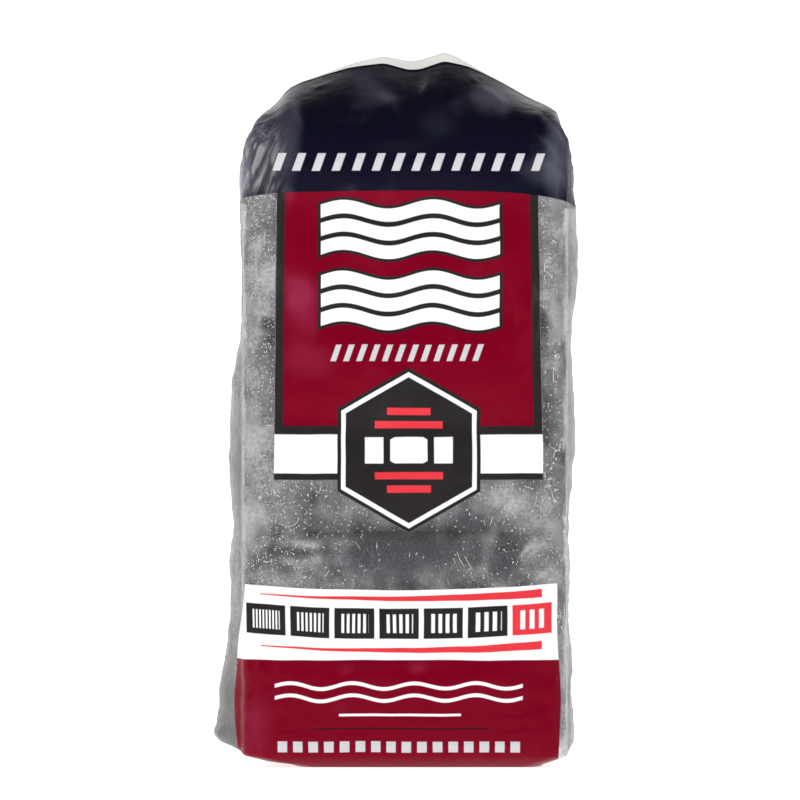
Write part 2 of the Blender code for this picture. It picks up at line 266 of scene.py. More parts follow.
class Nodes:
    """Short calls for building one material's nodes."""

    def __init__(self, name):
        self.material = bpy.data.materials.new(name)
        self.material.use_nodes = True
        self.tree = self.material.node_tree
        self.shader = self.tree.nodes["Principled BSDF"]

    def link(self, source, target):
        if isinstance(source, (int, float)):
            target.default_value = source
        elif isinstance(source, tuple):
            target.default_value = (*source, 1.0)
        else:
            self.tree.links.new(source, target)

    def new(self, kind, *values, **settings):
        """A node with its settings made and its first sockets fed."""
        node = self.tree.nodes.new(kind)
        for name, setting in settings.items():
            setattr(node, name, setting)
        for socket, value in zip(node.inputs, values):
            self.link(value, socket)
        return node

    def vector(self, *parts):
        return self.new("ShaderNodeCombineXYZ", *parts).outputs[0]

    def maths(self, operation, *values, clamp=False):
        return self.new("ShaderNodeMath", *values, operation=operation, use_clamp=clamp).outputs[0]

    plus = partialmethod(maths, "ADD")
    minus = partialmethod(maths, "SUBTRACT")
    times = partialmethod(maths, "MULTIPLY")
    over = partialmethod(maths, "DIVIDE")
    times_plus = partialmethod(maths, "MULTIPLY_ADD")
    size_of = partialmethod(maths, "ABSOLUTE")
    part_of = partialmethod(maths, "FRACT")
    largest = partialmethod(maths, "MAXIMUM")

    def attribute(self, name):
        return self.new("ShaderNodeAttribute", attribute_name=name).outputs["Fac"]

    def position(self):
        place = self.new("ShaderNodeTexCoord").outputs["Object"]
        return place, self.new("ShaderNodeSeparateXYZ", place).outputs

    def stretch(self, vector, scale):
        node = self.new("ShaderNodeVectorMath", vector, operation="MULTIPLY")
        node.inputs[1].default_value = scale
        return node.outputs[0]

    def noise(self, vector, scale, detail=3.0, roughness=0.5):
        node = self.new("ShaderNodeTexNoise", vector)
        for name, value in (("Scale", scale), ("Detail", detail), ("Roughness", roughness)):
            node.inputs[name].default_value = value
        return node.outputs["Fac"]

    def step(self, value, start, end, low=0.0, high=1.0):
        """A smooth rise from low to high as value goes from start to end."""
        numbers = (value, start, end, low, high)
        return self.new("ShaderNodeMapRange", *numbers, interpolation_type="SMOOTHSTEP").outputs[0]

    def within(self, value, low, high, soft=SOFT):
        """1 between low and high and 0 outside them."""
        above = self.step(self.minus(value, low), -soft, soft)
        below = self.step(self.minus(high, value), -soft, soft)
        return self.times(above, below)

    def above(self, value, edge):
        return self.step(value, edge - SOFT, edge + SOFT)

    def below(self, value, edge):
        return self.step(value, edge + SOFT, edge - SOFT)

    def both(self, *masks):
        return reduce(self.times, masks)

    def either(self, *masks):
        return reduce(self.largest, masks)

    def blend(self, share, first, second):
        """A colour between first and second."""
        node = self.new("ShaderNodeMix", share, data_type="RGBA")
        self.link(first, node.inputs[6])
        self.link(second, node.inputs[7])
        return node.outputs[2]

    def bump(self, height, strength, distance):
        node = self.new("ShaderNodeBump", strength, distance)
        self.link(height, node.inputs["Height"])
        self.link(node.outputs[0], self.shader.inputs["Normal"])

    def finish(self, colour, roughness, **sockets):
        self.link(colour, self.shader.inputs["Base Color"])
        self.link(roughness, self.shader.inputs["Roughness"])
        for name, value in sockets.items():
            self.link(value, self.shader.inputs[name.replace("_", " ")])
        return self.material


# Camera, lights and floor.


def make_camera():
    camera = bpy.data.objects.new("camera", bpy.data.cameras.new("camera"))
    camera.data.lens = LENS
    camera.data.sensor_width = 36.0
    camera.data.clip_start = 0.05
    camera.location = (CAMERA_X, -CAMERA_DISTANCE, CAMERA_HEIGHT)
    camera.rotation_euler = (math.pi / 2, 0, 0)
    bpy.context.scene.collection.objects.link(camera)
    bpy.context.scene.camera = camera


def make_light(name, place, size, power):
    light = bpy.data.lights.new(name, "AREA")
    light.shape = "RECTANGLE"
    light.size, light.size_y = size
    light.energy = power
    obj = bpy.data.objects.new(name, light)
    obj.location = place
    obj.rotation_euler = (Vector(LIGHTS_AIM) - Vector(place)).to_track_quat("-Z", "Y").to_euler()
    bpy.context.scene.collection.objects.link(obj)


def make_lights():
    for name, (place, size, power) in LIGHTS.items():
        make_light(name, place, size, power)
    world = bpy.data.worlds.new("studio")
    bpy.context.scene.world = world
    world.use_nodes = True
    background = world.node_tree.nodes["Background"]
    background.inputs["Color"].default_value = (1.0, 1.0, 1.0, 1.0)
    background.inputs["Strength"].default_value = WORLD_STRENGTH


def make_floor():
    """A pale floor that curves up into a backdrop."""
    half_width, front, back, height, bend = FLOOR
    profile = [(front, 0.0)]
    for k in range(13):
        angle = math.pi / 2 * k / 12
        y = back - bend + bend * math.sin(angle)
        profile.append((y, bend - bend * math.cos(angle)))
    profile.append((back, height))
    points = [(x, y, z) for y, z in profile for x in (-half_width, half_width)]
    quads = np.array([(2 * k, 2 * k + 1, 2 * k + 3, 2 * k + 2) for k in range(len(profile) - 1)])
    floor = new_object("floor", mesh_from("floor", points, quads), body=None)
    nodes = Nodes("floor paint")
    vector, _ = nodes.position()
    speckle = nodes.noise(vector, 60.0)
    tone = nodes.blend(speckle, (0.90, 0.90, 0.90), (0.94, 0.94, 0.94))
    nodes.link(tone, nodes.shader.inputs["Emission Color"])
    nodes.shader.inputs["Emission Strength"].default_value = FLOOR_GLOW
    floor.data.materials.append(nodes.finish(tone, 0.7))


# The film.

pad_low, pad_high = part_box("wool_pad_2_front")
top_low, top_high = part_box("wool_pad_6_front")
PADS_MIDDLE = (pad_low.x + pad_high.x) / 2
HALF_WIDTH = (pad_high.x - pad_low.x) / 2 + FILM_CLEARANCE
HALF_DEPTH = -top_low.y + FILM_CLEARANCE
BODY_TOP = (top_low.z + top_high.z) / 2
CAD_PADS = {name: node for name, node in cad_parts.items() if name.startswith("wool_pad")}
cad_tree = search_tree([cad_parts["film_bag"]])


def side_reach(z, side):
    """How far the CAD film stands out at one height, from the pads' middle."""
    z = min(max(z, 0.0004), BODY_TOP)
    start = Vector((side * 0.2, 0.0, z))
    hit = cad_tree.ray_cast(start, Vector((-side, 0, 0)))[0]
    return side * (hit.x - PADS_MIDDLE)


def face_depth(x, z, side):
    """Where the CAD film's front, -1, or back, 1, lies at one place."""
    hit = cad_tree.ray_cast(Vector((x, side * 0.2, z)), Vector((0, -side, 0)))[0]
    return side * hit.y if hit else HALF_DEPTH


def blurred(values, radius, axis):
    """A running mean along one axis, with the ends held, taken three times."""
    ends = [(0, 0)] * values.ndim
    ends[axis] = (radius, radius)
    for _ in range(3):
        padded = np.pad(values, ends, "edge")
        values = sliding_window_view(padded, 2 * radius + 1, axis).mean(-1)
    return values


def top_line(x, column):
    """The seal's height, 1, or the fin's, 2, at places across."""
    points = np.array(TOP_LINE).T / 1000
    fine = np.linspace(points[0, 0], points[0, -1], 400)
    smooth = blurred(np.interp(fine, points[0], points[column]), 3, 0)
    return np.interp(x, fine, smooth)


def ring(edge_left, edge_right, reach_left, reach_right, half_depth, face):
    """One level loop of the film as an array of points, from the front's left end round by the
    right. face(x, side) gives how far the front and the back stand out."""
    corner = min(CORNER_RADIUS, LIP_ROUNDNESS * half_depth)
    inner = half_depth - corner
    points = []
    for side in (-1, 1):
        across = FRONT_COLUMNS if side < 0 else BACK_COLUMNS
        place = side * np.linspace(1, -1, across, endpoint=False)
        width = np.where(place < 0, edge_left - corner, edge_right - corner)
        x = PADS_MIDDLE + place * width
        points.append(np.stack([x, side * face(x, side)], 1))
        edge, reach = (edge_right, reach_right) if side < 0 else (edge_left, reach_left)
        turns = np.linspace(-math.pi / 2, 0, CORNER_COLUMNS, endpoint=False)
        for half in (0, 1):
            angle = turns + half * math.pi / 2
            along = edge - corner + corner * np.cos(angle)
            depth = (2 * half - 1) * inner + corner * np.sin(angle)
            points.append(np.stack([PADS_MIDDLE - side * along, -side * depth], 1))
            if half == 0:
                place = np.linspace(-1, 1, SIDE_COLUMNS, endpoint=False)
                out = mix(edge, reach, 1 - place**2)
                points.append(np.stack([PADS_MIDDLE - side * out, -side * place * inner], 1))
    return np.concatenate(points)


def level_ring(reach, half_depth):
    """A full-width loop whose front and back stand out equally far everywhere."""
    return ring(HALF_WIDTH, HALF_WIDTH, *reach, half_depth, lambda x, side: np.full_like(x, half_depth))


def shoulder(z, points):
    heights, places = np.array(points).T / 1000
    return np.interp(z, heights, places)


def side_reaches(levels):
    """How far both sides stand out at each level: as in the CAD, softened above the base, and with
    the folded ear."""
    reaches = np.array([(side_reach(z, -1), side_reach(z, 1)) for z in levels])
    smooth = blurred(reaches, 2, 0)
    keep = ease(levels, BASE_ROUNDING, 2 * BASE_ROUNDING)[:, None]
    reaches = mix(reaches, smooth, keep)
    height, half_height, stand = EAR
    reaches[:, 0] += stand * np.clip(1 - np.abs(levels - height) / half_height, 0, 1)
    return reaches


def body_ring(z, reach):
    """One level loop of the body, drawn in where it turns under the base."""
    turn_in = (1 - min(z / BASE_ROUNDING, 1)) ** 2
    half_depth = HALF_DEPTH - BASE_FRONT_INSET * turn_in
    edges = [min(HALF_WIDTH, r) for r in reach]

    def face(x, side):
        if z < BASE_ROUNDING:
            return np.full_like(x, half_depth)
        depths = np.array([face_depth(v, z, side) for v in x])
        corner_start = HALF_WIDTH - CORNER_RADIUS
        flat = ease(np.abs(x - PADS_MIDDLE), corner_start - CORNER_FADE, corner_start)
        return mix(depths, half_depth, flat)

    return ring(*edges, *reach, half_depth, face)


def base_rows(base):
    """Rows under the bag, from the slit in its middle out to its edge."""
    centre = np.stack([np.clip(base[:, 0], *BASE_SLIT), np.zeros(len(base))], 1)
    shares = [k / BASE_RINGS for k in range(1, BASE_RINGS)]
    return [np.column_stack([mix(centre, base, share), np.zeros(len(base))]) for share in shares]


def soften(body):
    """The body's rows with the valleys between the rolls a little filled."""
    depths = blurred(body[:, :, 1], 2, 0)
    share = ease(body[:, :, 2], 2 * BASE_ROUNDING, 3 * BASE_ROUNDING) * (np.abs(depths) > 0.034)
    body[:, :, 1] = mix(body[:, :, 1], depths, share)
    return body


def gable_rows(top_row, top_reach):
    """Rows from the body's top up to the seal, on which the rolls' relief fades out."""
    proud = top_row[:, 1] - level_ring(top_reach, HALF_DEPTH)[:, 1]
    rows = []
    for k in range(1, GABLE_ROWS + 1):
        share = k / GABLE_ROWS
        reach = [mix(r, HALF_WIDTH, share) for r in top_reach]
        loop = level_ring(reach, mix(HALF_DEPTH, LIP_HALF_GAP, share**2))
        across = (loop[:, 0] - PADS_MIDDLE) / HALF_WIDTH
        rise = mix(share, 1 - (1 - share) ** 3, np.clip(np.abs(across), 0, 1) ** 3)
        z = mix(BODY_TOP, top_line(loop[:, 0], 1), rise)
        x = np.clip(loop[:, 0], shoulder(z, LEFT_SHOULDER), shoulder(z, RIGHT_SHOULDER))
        rows.append(np.column_stack([x, loop[:, 1] + proud * (1 - share), z]))
    return rows


def fin_rows(lip):
    fin = top_line(lip[:, 0], 2)
    return [lip + np.column_stack([0 * fin, 0 * fin, fin * k / FIN_ROWS]) for k in range(1, FIN_ROWS + 1)]


def film_grid():
    """The film's points as rows by columns by three, from the middle of the base to the fin."""
    levels = np.linspace(0, 1, BODY_ROWS)
    levels = BODY_TOP * (levels + 0.35 * levels * (levels - 1) * (1 - levels))
    reaches = side_reaches(levels)
    loops = [body_ring(z, reach) for z, reach in zip(levels, reaches)]
    body = [np.column_stack([loop, np.full(len(loop), z)]) for z, loop in zip(levels, loops)]
    rows = base_rows(loops[0])
    rows += list(soften(np.array(body)))
    rows += gable_rows(rows[-1], reaches[-1])
    rows += fin_rows(rows[-1])
    return np.array(rows)


def near_line(x, z, points):
    """Distance from each place to a line of points on the front, and how far along it lies."""
    best = np.full(np.shape(x), 1e9)
    along = np.zeros(np.shape(x))
    for k, (a, b) in enumerate(zip(points, points[1:])):
        dx, dz = b[0] - a[0], b[1] - a[1]
        t = np.clip(((x - a[0]) * dx + (z - a[1]) * dz) / (dx * dx + dz * dz), 0, 1)
        distance = np.hypot(x - a[0] - t * dx, z - a[1] - t * dz)
        closer = distance < best
        best = np.where(closer, distance, best)
        along = np.where(closer, (k + t) / (len(points) - 1), along)
    return best, along


# Creases on the front, in millimetres: (across, up) points, width, and how far they stand out.
CREASES = (
    (((-53.6, 223.7), (-56.9, 216.7), (-58.6, 202.3)), 1.1, 0.9),
    (((-61, 214), (-57.5, 216)), 0.9, 0.6),
    (((-58, 189), (-50, 186.5)), 1.1, 1.1),
    (((-58, 180), (-50.5, 179.5)), 1, 1),
    (((-59.5, 192), (-56.5, 186), (-57.5, 178)), 0.9, 0.9),
    (((59, 193), (63.5, 189), (65, 183), (62, 177.5)), 1.3, 1.2),
    (((66, 190), (68.5, 182), (67, 176)), 1.8, 0.9),
    (((58.6, 97.4), (50, 86.3)), 0.8, 1.4),
    (((60.6, 96.4), (52.5, 84.5)), 0.8, 0.9),
    (((56, 93.5), (65, 92)), 1.4, 0.9),
    (((-43.8, 94.1), (-31.4, 91.6)), 1.4, 1.3),
    (((-48.7, 87.5), (-33.5, 83.4)), 1.3, 1.2),
    (((-62, 106), (-59, 99), (-61.5, 92)), 1.2, 1),
    (((-50.5, 274), (-56, 268.5), (-60, 258.5), (-62, 244.5)), 0.9, 1),
    (((-52, 268.5), (-55.2, 264.5), (-58.4, 254.5)), 0.8, 0.9),
    (((-53.5, 258.5), (-56.7, 252.5), (-60, 242.5)), 0.9, 0.9),
    (((-48.5, 262), (-50.5, 252), (-50, 243)), 1.3, 0.7),
    (((68.5, 258), (64, 265), (57, 271)), 1, 0.9),
    (((68, 249), (62.5, 258), (53, 264.5)), 1, 0.8),
    (((69.5, 240), (66, 247), (60.5, 251)), 1.2, 0.6),
    (((-36, 281.5), (-29, 284.5), (-21.4, 288.5)), 0.8, 1.2),
    (((-46, 277), (-42, 273), (-38, 262)), 1.8, 0.7),
    (((30.6, 290), (33.5, 284.5)), 0.9, 1.2),
    (((34, 284.5), (43, 276), (46, 266)), 2.4, 0.7),
    (((-12, 284), (-2, 276), (4, 266)), 2.6, 0.8),
    (((14, 288), (10, 276)), 2.2, 0.8),
    (((-72, 17), (-74.5, 13), (-71.5, 8)), 1, 1.2),
    (((-70, 16), (-66.5, 7)), 1, 0.8),
    (((69.5, 50), (71, 30), (71.5, 10)), 1.4, 0.8),
)
# Places where the film lies on the wool, in millimetres: across, up, half-sizes and strength.
CONTACTS = (
    (2, 90, 34, 15, 1),
    (46, 88, 10, 9, 1),
    (-44, 89.5, 15, 3, 0.9),
    (-25, 99, 12, 9, 0.6),
    (-54.1, 183, 4.6, 4.2, 1),
    (61.5, 185, 3, 8, 0.9),
    (-57.5, 97.5, 2.5, 5.5, 0.7),
    (36, 103, 10, 7, 0.5),
    (-52, 226, 7, 8, 0.35),
    (-52, 160, 5, 12, 0.3),
    (63, 214, 6, 12, 0.35),
)
# Places where the inks are hazier, partly haze and partly painted sheen, with a painted reflection as a
# pale rim on the header's left edge, and where the clear film is, given the same way.
INK_HAZE_AND_SHEEN = (
    (-45, 262, 6.5, 24, 0.55),
    (-63.5, 250, 3.5, 22, 0.90),
    (-55, 262, 4, 10, 0.35),
    (-10, 280, 10, 9, 0.30),
    (-2, 256, 16, 5, 0.20),
    (16, 268, 10, 8, 0.25),
    (40, 278, 13, 9, 0.45),
    (66, 250, 5, 24, 0.42),
    (30, 260, 24, 9, 0.12),
    (58, 246, 9, 7, 0.30),
    (-40, 192, 9, 18, 0.35),
    (-36, 168, 14, 9, 0.36),
    (50, 160, 9, 16, 0.10),
    (-58, 22, 8, 18, 0.22),
    (-5, 42, 44, 3, 0.22),
)
VEILS = (
    (-56, 205, 8, 15, 0.36),
    (-58, 150, 7, 26, 0.20),
    (-59, 125, 8, 16, 0.25),
    (63, 212, 8, 26, 0.32),
    (-71, 24, 6, 22, 0.90),
    (68.5, 30, 2.6, 30, 0.26),
    (73, 26, 2.6, 22, -0.25),
    (70, 6, 5, 8, 0.60),
    (62, 190, 6, 7, 0.12),
    (62, 103, 6, 10, 0.25),
    (48, 111, 14, 7, 0.40),
    (62, 81, 6, 6, 0.50),
    (60, 147, 11, 34, -0.16),
    (-60, 103, 6, 12, 0.45),
    (-27, 93, 17, 1.8, 0.35),
    (-31, 86, 13, 1.9, 0.35),
)


def placed_patches(patches, x, y, z):
    total = np.zeros(x.shape)
    for across, up, half_x, half_z, strength in patches:
        inside = ((x - across) / half_x) ** 2 + ((z - up) / half_z) ** 2
        total += strength * np.exp(-(inside**1.5)) * (y < 0)
    return total


def fractal(points, scale, octaves, seed):
    """Smooth noise in about -1 to 1 at each point."""
    shift = Vector((seed * 17.3, seed * 5.1, seed * 9.7))
    return np.array(
        [noise.fractal(Vector(p) * scale + shift, 1.0, 2.0, octaves) for p in points.reshape(-1, 3)]
    ).reshape(points.shape[:-1])


def grid_normals(grid):
    """Outward unit normals of the closed-round grid."""
    across = np.roll(grid, -1, 1) - np.roll(grid, 1, 1)
    up = np.gradient(grid, axis=0)
    normals = np.cross(across, up)
    length = np.linalg.norm(normals, axis=2, keepdims=True)
    return normals / np.maximum(length, 1e-12)


def sculpt(grid):
    """Creases, dimples where the film clings to the wool, and small slack wrinkles."""
    normals = grid_normals(grid)
    x, y, z = np.moveaxis(grid * 1000, 2, 0)
    front = ease(-y, 5.0, 20.0)
    settle = ease(z, 3.0, 22.0) * (1 - ease(z, 286.0, 292.0))
    lift = np.zeros(x.shape)
    for points, width, height in CREASES:
        distance, along = near_line(x, z, points)
        taper = np.clip(4 * along * (1 - along), 0, 1)
        lift += height * taper * np.exp(-((distance / width) ** 1.4)) * front
    creases = np.clip(lift, 0, 1)
    ragged = 1 + 0.45 * fractal(grid * 1000, 0.14, 3, 4)
    contact = np.zeros(x.shape)
    for across, up, half_x, half_z, strength in CONTACTS:
        inside = np.hypot((x - across) / half_x, (z - up) / half_z) * ragged
        contact = np.maximum(contact, strength * (1 - ease(inside, 0.35, 1.45)) * front)
    contact *= 1 - 0.8 * creases
    lift -= 0.5 * contact

    # Long wrinkles hang from the shoulders, and short ones cross the sides.
    stretched = grid * np.array((1.0, 1.0, 0.28)) * 1000
    hanging = fractal(stretched, 0.16, 4, 1)
    crossing = fractal(grid * np.array((0.35, 0.35, 1.0)) * 1000, 0.13, 4, 2)
    fine = fractal(grid * 1000, 0.30, 3, 3)
    sides = ease(np.abs(x - FRONT_MIDDLE), 48.0, 62.0)
    shoulders = ease(z, 236.0, 262.0)
    low = 1 - ease(z, 12.0, 30.0)
    calm = 1 - 0.85 * ease(z, 240.0, 262.0) * (1 - sides)
    lift += 0.9 * shoulders * (0.08 + 0.92 * sides) * np.abs(hanging)
    lift += calm * (0.3 + 0.6 * sides) * 0.6 * (crossing + 0.4)
    lift += 0.4 * low * np.abs(crossing)
    lift += 0.10 * fine
    lift = np.maximum(lift, -DEEPEST_DIMPLE)
    return grid + normals * (lift * settle / 1000)[..., None], contact, creases


def gaps_to(grid, tree):
    """How far each point of the grid is from the pads."""
    gaps = [tree.find_nearest(Vector(point))[3] for point in grid.reshape(-1, 3)]
    return np.array(gaps).reshape(grid.shape[:2])


def add_attribute(mesh, name, values):
    attribute = mesh.attributes.new(name, "FLOAT", "POINT")
    attribute.data.foreach_set("value", np.asarray(values, np.float32).ravel())


def add_film_attributes(mesh, grid, contact, creases):
    """What the film's material reads: how hazy the inks look, partly hazy film and partly painted sheen,
    the veil and lobes of clear film, the lobes painted a grey shade, and the fin. The film is hazy
    where it stands a little off the wool."""
    x, y, z = np.moveaxis(grid * 1000, 2, 0)
    clouds = ease(fractal(grid * 1000, 0.035, 3, 5), 0.0, 0.55)
    small = fractal(grid * 1000, 0.12, 3, 6)
    gaps = ease(gaps_to(grid, search_tree(CAD_PADS.values())) * 1000, 3.0, 9.0)
    off_middle = np.abs(x - 4.0)
    # The inks' hazy share, partly haze and partly painted sheen: soft clouds, placed patches, painted
    # highlights along the creases and on the upper sides by the shoulders, less where the film clings.
    haze_and_sheen = (0.20 + 0.15 * small) * clouds + placed_patches(INK_HAZE_AND_SHEEN, x, y, z) + 0.35 * creases
    haze_and_sheen += 0.15 * ease(off_middle, 50.0, 62.0) * ease(z, 232.0, 244.0)
    haze_and_sheen *= 1 - 0.9 * contact
    veil = 0.27 + 0.26 * clouds + 0.36 * small + placed_patches(VEILS, x, y, z)
    # Along the creases the clear film is paler, partly hazier lifted film and partly a painted highlight of
    # the folds.
    veil = veil * (1 - 0.92 * contact) + 0.4 * creases
    beside = 0.45 * gaps * ease(off_middle, 54.0, 66.0)
    lobe = np.maximum(beside, ease(np.abs(x - FRONT_MIDDLE), 66.0, 68.0))
    for name, values in (("haze_and_sheen", haze_and_sheen), ("veil", veil), ("lobe", lobe)):
        add_attribute(mesh, name, np.clip(values, 0, 1))
    fin = np.zeros(x.shape)
    fin[-FIN_ROWS - 1:] = 1.0
    add_attribute(mesh, "fin", fin)


def add_flat_map(mesh, rows, columns):
    """A flat map of the film: once round it across, and from the base's middle to the fin up."""
    layer = mesh.uv_layers.new(name="OFBake")
    across = np.arange(columns + 1) / columns
    up = np.linspace(0, 1, rows)
    corners = np.empty((rows - 1, columns, 4, 2))
    corners[:, :, (0, 3), 0] = across[:-1, None]
    corners[:, :, (1, 2), 0] = across[1:, None]
    corners[:, :, :2, 1] = up[:-1, None, None]
    corners[:, :, 2:, 1] = up[1:, None, None]
    layer.data.foreach_set("uv", corners.astype(np.float32).ravel())


def make_film():
    grid, contact, creases = sculpt(film_grid())
    # One more row closes the fin's two lips.
    grid = np.concatenate([grid, grid[-1:] * np.array((1.0, 0.0, 1.0))])
    contact = np.concatenate([contact, contact[-1:]])
    creases = np.concatenate([creases, creases[-1:]])
    rows, columns = grid.shape[:2]
    # Under the bag the innermost ring closes over a slit, front columns against back ones.
    grid[0, :, 1] *= 0.0
    mesh = mesh_from("film", grid.reshape(-1, 3), grid_quads(rows, columns))
    film = new_object("printed_film", mesh)
    add_film_attributes(mesh, grid, contact, creases)
    add_flat_map(mesh, rows, columns)
    film.data.materials.append(film_material())
    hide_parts("film_bag")
    return film


def strands(nodes, x, z, bundle):
    """Bold wavy strands, evenly spaced one above another, and the wider outline behind them."""
    start, end, centre, count, pitch, swing, length, half, rim = bundle
    phase = nodes.times(nodes.minus(x, start), 2 * math.pi / length)
    height = nodes.times_plus(nodes.maths("SINE", phase), swing, centre - pitch * count / 2)
    place = nodes.over(nodes.minus(z, height), pitch)
    offset = nodes.minus(nodes.part_of(place), 0.5)
    gap = nodes.times(nodes.size_of(offset), pitch)
    rows = nodes.within(place, 0.0, float(count), SOFT / pitch)
    strand = nodes.both(rows, nodes.below(gap, half), nodes.within(x, start, end))
    edge = half + rim - pitch / 2
    tall = nodes.within(place, -edge / pitch, count + edge / pitch, SOFT / pitch)
    outline = nodes.both(tall, nodes.within(x, start - rim, end + rim))
    return strand, outline


def dashes(nodes, x, z, row):
    start, end, centre, half, pitch, share, slant = row
    lean = nodes.times(nodes.minus(z, centre), slant)
    place = nodes.minus(nodes.minus(x, lean), start)
    part = nodes.part_of(nodes.over(place, pitch))
    return nodes.both(
        nodes.within(part, 0.0, share, 0.03),
        nodes.within(place, 0.0, end - start),
        nodes.within(z, centre - half, centre + half),
    )


def bar(nodes, x, z, centre_x, centre_z, half_x, half_z):
    return nodes.both(
        nodes.within(x, centre_x - half_x, centre_x + half_x),
        nodes.within(z, centre_z - half_z, centre_z + half_z),
    )


def badge(nodes, x, z):
    """A six-sided badge: its dark field, white edge, red bars and white plate."""
    middle_x, middle_z, radius = BADGE
    across = nodes.size_of(nodes.minus(x, middle_x))
    up = nodes.size_of(nodes.minus(z, middle_z))
    slanted = nodes.times_plus(across, 0.5, nodes.times(up, math.sqrt(0.75)))
    size = nodes.largest(slanted, across)
    field = nodes.below(size, radius)
    outer, inner = BADGE_RING
    edge = nodes.within(size, radius - outer, radius - inner)
    bars = [
        bar(nodes, x, z, middle_x, middle_z + up_by, half, BAR_HALF_HEIGHT)
        for up_by, half in BADGE_BARS
    ]
    gap_place, gap_inner, gap_outer = PLATE_GAP
    off_gap = nodes.size_of(nodes.minus(size, gap_place))
    beside_gap = nodes.step(off_gap, gap_inner, gap_outer)
    plate = nodes.both(bar(nodes, x, z, middle_x, middle_z, *PLATE), beside_gap)
    return field, edge, nodes.either(*bars), plate


def grade_blocks(nodes, x, z):
    """Seven dark blocks of upright lines that go from fine to coarse, the last block red."""
    start, end, centre, half = BLOCKS
    pitch = (end - start) / BLOCK_COUNT
    place = nodes.over(nodes.minus(x, start), pitch)
    index = nodes.maths("FLOOR", place)
    part = nodes.times(nodes.part_of(place), pitch)
    block = nodes.both(
        nodes.within(part, BLOCK_MARGIN, pitch - BLOCK_MARGIN),
        nodes.within(z, centre - half, centre + half),
        nodes.within(x, start, end),
    )
    spacing = nodes.times_plus(index, PITCH_RISE, FINEST_PITCH)
    phase = nodes.part_of(nodes.over(nodes.minus(part, LINES_SIDE), spacing))
    lines = nodes.both(
        nodes.within(phase, 0.25, 0.75, 0.08),
        nodes.within(part, LINES_SIDE, pitch - LINES_SIDE),
        nodes.within(z, centre - half + LINES_END, centre + half - LINES_END),
    )
    last = nodes.step(index, BLOCK_COUNT - 1.6, BLOCK_COUNT - 1.4)
    return block, last, lines


def wedge(nodes, x, z, centre):
    """A thin wedge that grows from left to right."""
    start, end = WEDGE_ENDS
    thin, thick = WEDGE_HALVES
    slope = (thick - thin) / (end - start)
    half = nodes.times_plus(nodes.minus(x, start), slope, thin)
    inside = nodes.minus(half, nodes.size_of(nodes.minus(z, centre)))
    return nodes.both(nodes.step(inside, -SOFT, SOFT), nodes.within(x, start, end))


def header_highlight_streaks(nodes, x, y, z):
    """Pale streaks that hang from the shoulders, painted highlights of the film's wrinkles, and a pale band
    down the middle of both sides.
    """
    out = nodes.size_of(nodes.minus(x, PADS_MIDDLE * 1000))
    leaning = nodes.times_plus(z, STREAK_LEAN, out)
    depth = nodes.times(y, 1000.0)
    along = nodes.times(z, 0.05)
    folds = nodes.noise(nodes.vector(leaning, depth, along), STREAK_FINENESS, 1.5)
    streaks = nodes.step(folds, 0.38, 0.74, 0.10, 0.68)
    start = nodes.step(x, -10.0, 10.0, *STREAK_STARTS)
    beyond = nodes.step(nodes.minus(out, start), 0.0, 11.0)
    upper = nodes.both(beyond, nodes.step(z, 234.0, 242.0), nodes.step(z, 268.0, 256.0, 0.25, 1.0))
    narrower = nodes.step(x, -10.0, 10.0, 0.0, 12.0)
    off_middle = nodes.plus(nodes.size_of(depth), narrower)
    pale_side = nodes.both(nodes.step(off_middle, 27.0, 14.0), nodes.step(folds, 0.30, 0.55, 0.45, 0.95))
    return nodes.both(upper, nodes.either(streaks, pale_side))


def make_inks(nodes, x, y, z):
    """The inks' colours by name, lighter where the film is hazy and where a sheen is painted, the white
    darker as painted shade, and the navy with painted highlight streaks.
    """
    lighter = nodes.step(nodes.attribute("haze_and_sheen"), 0.1, 1.0)
    inks = {name: nodes.blend(lighter, close, hazy) for name, (close, hazy) in INKS.items()}
    # The navy header carries the painted highlight streaks.
    inks["navy"] = nodes.blend(header_highlight_streaks(nodes, x, y, z), inks["navy"], HIGHLIGHT_STREAK_COLOUR)
    return inks


def panel_layers(nodes, x, z, front, inks):
    """The panel with its dark border, and the white band under it with a dark edge."""
    left, right, foot = PANEL
    drop = nodes.minus(HEADER_FOOT, z)
    panel_left = nodes.minus(left, nodes.times(drop, PANEL_SPREAD[0]))
    panel_right = nodes.times_plus(drop, PANEL_SPREAD[1], right)
    inside = nodes.both(front, nodes.within(x, panel_left, panel_right))
    panel = nodes.both(inside, nodes.above(z, foot))
    outer_left = nodes.minus(panel_left, BORDER)
    outer_right = nodes.plus(panel_right, BORDER)
    framed = nodes.both(front, nodes.within(x, outer_left, outer_right))
    border_foot = foot - BORDER
    border = nodes.both(framed, nodes.above(z, border_foot))
    band = nodes.both(framed, nodes.within(z, BAND_FOOT, border_foot))
    under = nodes.both(framed, nodes.within(z, BAR_FOOT, BAND_FOOT))
    charcoal = inks["charcoal"]
    return [(border, charcoal), (panel, inks["crimson"]), (band, inks["white"]), (under, charcoal)]


def strip_masks(nodes, x, z, front):
    """The white strip, the footer under it, and heights that sag in the middle as the strip does."""
    left, right, top, foot = STRIP
    square = nodes.times(x, x)
    sag = nodes.times_plus(square, STRIP_SAG / STRIP_HALF_WIDTH**2, -STRIP_SAG)
    hung = nodes.minus(z, sag)
    for low, high, shift in LEFT_LEANS:
        left = nodes.plus(nodes.step(z, low, high, 0.0, shift), left)
    for low, high, shift in RIGHT_LEANS:
        right = nodes.plus(nodes.step(z, low, high, 0.0, shift), right)
    wide = nodes.both(front, nodes.within(x, left, right))
    under_top = nodes.below(hung, top)
    strip = nodes.both(wide, nodes.above(z, foot), under_top)
    footer = nodes.both(wide, nodes.below(z, foot))
    return strip, footer, hung


